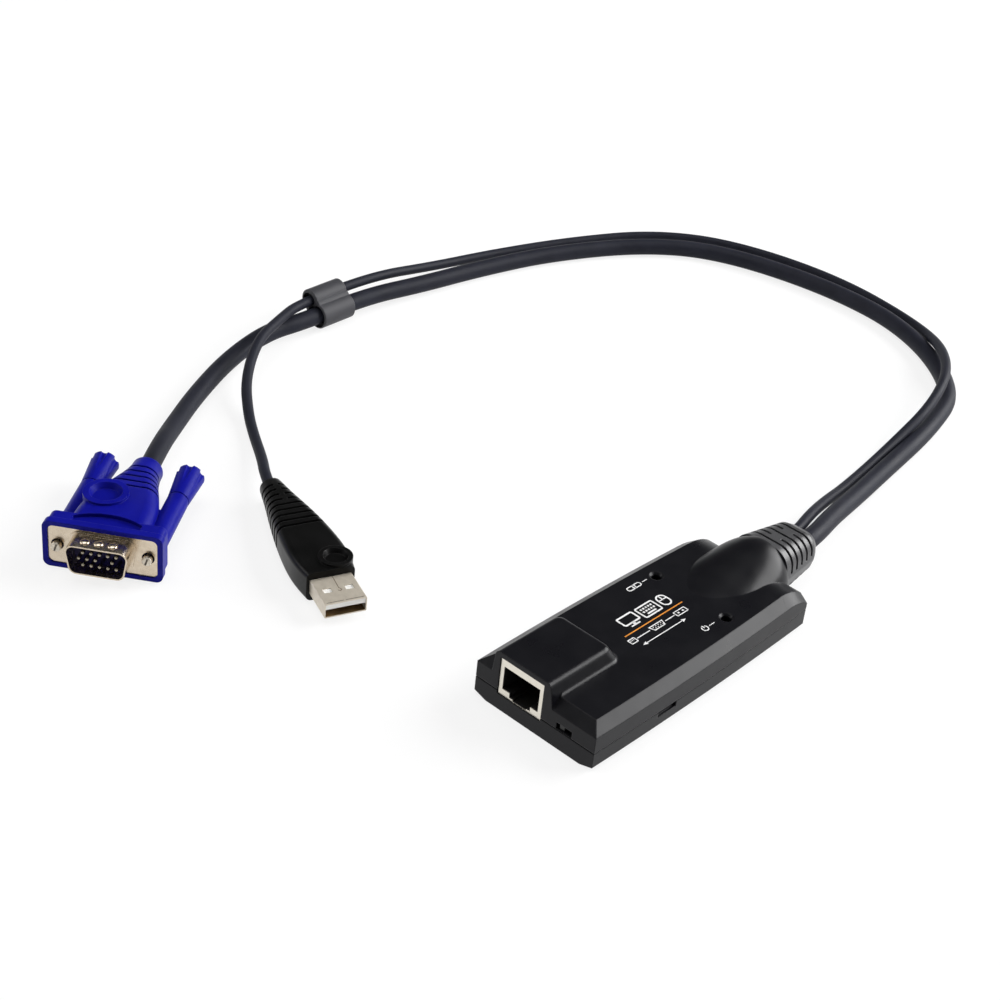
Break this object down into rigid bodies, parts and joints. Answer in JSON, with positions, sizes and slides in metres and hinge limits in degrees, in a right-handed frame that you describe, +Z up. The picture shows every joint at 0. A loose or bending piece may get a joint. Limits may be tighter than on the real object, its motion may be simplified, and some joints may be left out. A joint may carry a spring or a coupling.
{
  "type": "kvm dongle",
  "caption": "Flat two-part case with a modular network jack at one end and a slotted strain relief at the other, feeding a D-sub video plug and a USB plug on two cables.",
  "frame": {"origin": "on the ground under the middle of the case and its strain relief", "axes": "+X to the right and +Y from the jack to the cable end, +Z up out of the flat top"},
  "size_m": [0.2142, 0.3237, 0.0178],
  "materials": {
    "case_black": "satin",
    "board_green": "satin",
    "screw_steel": "satin",
    "jack_steel": "satin",
    "insert_black": "matt",
    "contact_brass": "polished",
    "lamp_lens": "gloss",
    "can_aluminium": "satin",
    "header_white": "satin",
    "core_grey": "satin",
    "boot_grey": "satin",
    "cable_grey": "satin",
    "collar_grey": "satin",
    "plug_blue": "satin",
    "plug_nickel": "satin",
    "insulator_dark": "satin",
    "pin_gold": "polished",
    "grip_black": "satin",
    "tongue_white": "satin"
  },
  "bodies": {
    "case_and_cables": {"top_cover": "case_black", "bottom_cover": "case_black", "circuit_board": "board_green", "cover_screws": "screw_steel", "jack_shield": "jack_steel", "jack_insert": "insert_black", "jack_contacts": "contact_brass", "slide_switch_case": "insert_black", "link_lamp": "lamp_lens", "supply_lamp": "lamp_lens", "main_chip": "insert_black", "video_chip": "insert_black", "line_transformer": "insert_black", "crystal": "screw_steel", "board_capacitors": "can_aluminium", "cable_headers": "header_white", "core_wires": "core_grey", "cable_boot": "boot_grey", "video_cable": "cable_grey", "usb_cable": "cable_grey", "cable_collar": "collar_grey", "video_plug_hood": "plug_blue", "video_plug_shell": "plug_nickel", "video_plug_insulator": "insulator_dark", "video_plug_pins": "pin_gold", "usb_plug_grip": "grip_black", "usb_plug_shell": "plug_nickel", "usb_plug_tongue": "tongue_white", "usb_plug_contacts": "pin_gold"},
    "left_thumbscrew": {"left_thumbscrew_shaft": "plug_nickel", "left_thumbscrew_knob": "plug_blue"},
    "right_thumbscrew": {"right_thumbscrew_shaft": "plug_nickel", "right_thumbscrew_knob": "plug_blue"},
    "switch_finger": {"slide_switch_knob": "insert_black"}
  },
  "joints": [
    {"name": "left_thumbscrew_turn", "type": "hinge", "parent": "case_and_cables", "child": "left_thumbscrew", "pos_m": [-0.13069, -0.10321, 0.0074], "axis": [0.5736, -0.8192, 0], "continuous": true},
    {"name": "right_thumbscrew_turn", "type": "hinge", "parent": "case_and_cables", "child": "right_thumbscrew", "pos_m": [-0.11021, -0.08887, 0.0074], "axis": [0.5736, -0.8192, 0], "continuous": true},
    {"name": "switch_slide", "type": "slide", "parent": "case_and_cables", "child": "switch_finger", "axis": [1, 0, 0], "range_m": [0, 0.0018]}
  ]
}
